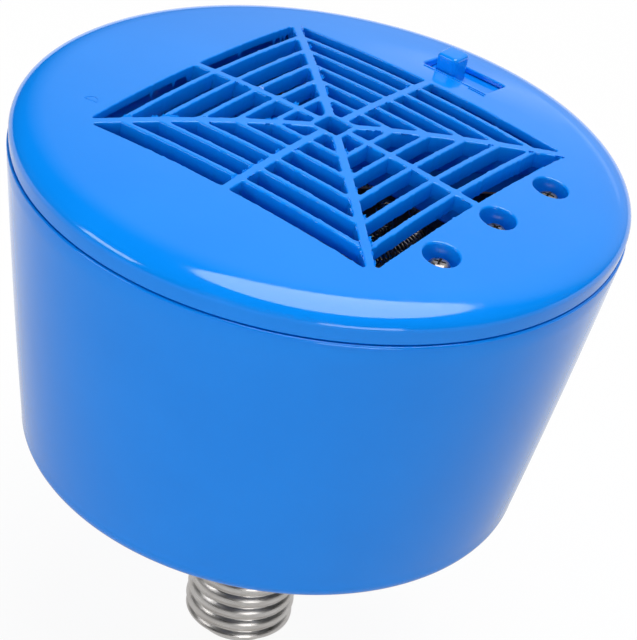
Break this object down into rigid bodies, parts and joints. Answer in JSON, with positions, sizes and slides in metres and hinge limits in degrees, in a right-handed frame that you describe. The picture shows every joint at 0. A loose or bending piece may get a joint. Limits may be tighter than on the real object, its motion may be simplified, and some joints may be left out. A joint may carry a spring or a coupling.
{
  "type": "reptile heat lamp",
  "caption": "Screw-in heater for reptile housing: tapered drum with domed lid, square web grille, slide switch, heating coil on crossed boards, motor fan and threaded cap.",
  "frame": {"origin": "tip of the screw cap's centre contact", "axes": "+Z along the cap's axis towards the domed lid, +X towards the row of three lid screws, +Y towards the slide switch"},
  "size_m": [0.1372, 0.1372, 0.1448],
  "materials": {
    "blue_plastic": "moulded, glossy",
    "black_plastic": "moulded, satin",
    "nickel_plate": "nickel plated, satin",
    "steel_sheet": "zinc plated, satin",
    "mica_sheet": "pressed mica sheet, faint sheen",
    "heating_wire": "oxidised resistance wire",
    "grey_glass": "opaque fused glass",
    "red_sleeve": "silicone sleeve, matt"
  },
  "bodies": {
    "housing": {"front_lid": "blue_plastic", "drum_housing": "blue_plastic", "air_duct": "blue_plastic", "motor_end_cap": "black_plastic", "switch_body": "black_plastic", "thermal_cutout": "black_plastic", "cap_shell": "nickel_plate", "cap_contact": "nickel_plate", "switch_terminal_1": "nickel_plate", "switch_terminal_2": "nickel_plate", "switch_terminal_3": "nickel_plate", "thermal_fuse": "nickel_plate", "lid_screw_1": "steel_sheet", "lid_screw_2": "steel_sheet", "lid_screw_3": "steel_sheet", "motor_can": "steel_sheet", "motor_bracket": "steel_sheet", "bracket_screw_1": "steel_sheet", "bracket_screw_2": "steel_sheet", "bracket_screw_3": "steel_sheet", "mica_board_long": "mica_sheet", "mica_board_cross": "mica_sheet", "heating_element": "heating_wire", "cap_insulator": "grey_glass", "lead_contact": "red_sleeve", "lead_shell": "red_sleeve", "lead_cutout": "red_sleeve", "lead_fuse": "red_sleeve", "lead_motor": "red_sleeve", "lead_heater": "red_sleeve", "lead_return": "red_sleeve"},
    "fan": {"fan_impeller": "black_plastic", "fan_shaft": "steel_sheet"},
    "switch": {"switch_knob": "blue_plastic"}
  },
  "joints": [
    {"name": "fan_spin", "type": "hinge", "parent": "housing", "child": "fan", "pos_m": [0, 0, 0.0909], "axis": [0, 0, 1], "continuous": true},
    {"name": "switch_slide", "type": "slide", "parent": "housing", "child": "switch", "axis": [1, 0, 0], "range_m": [0, 0.0076]}
  ]
}
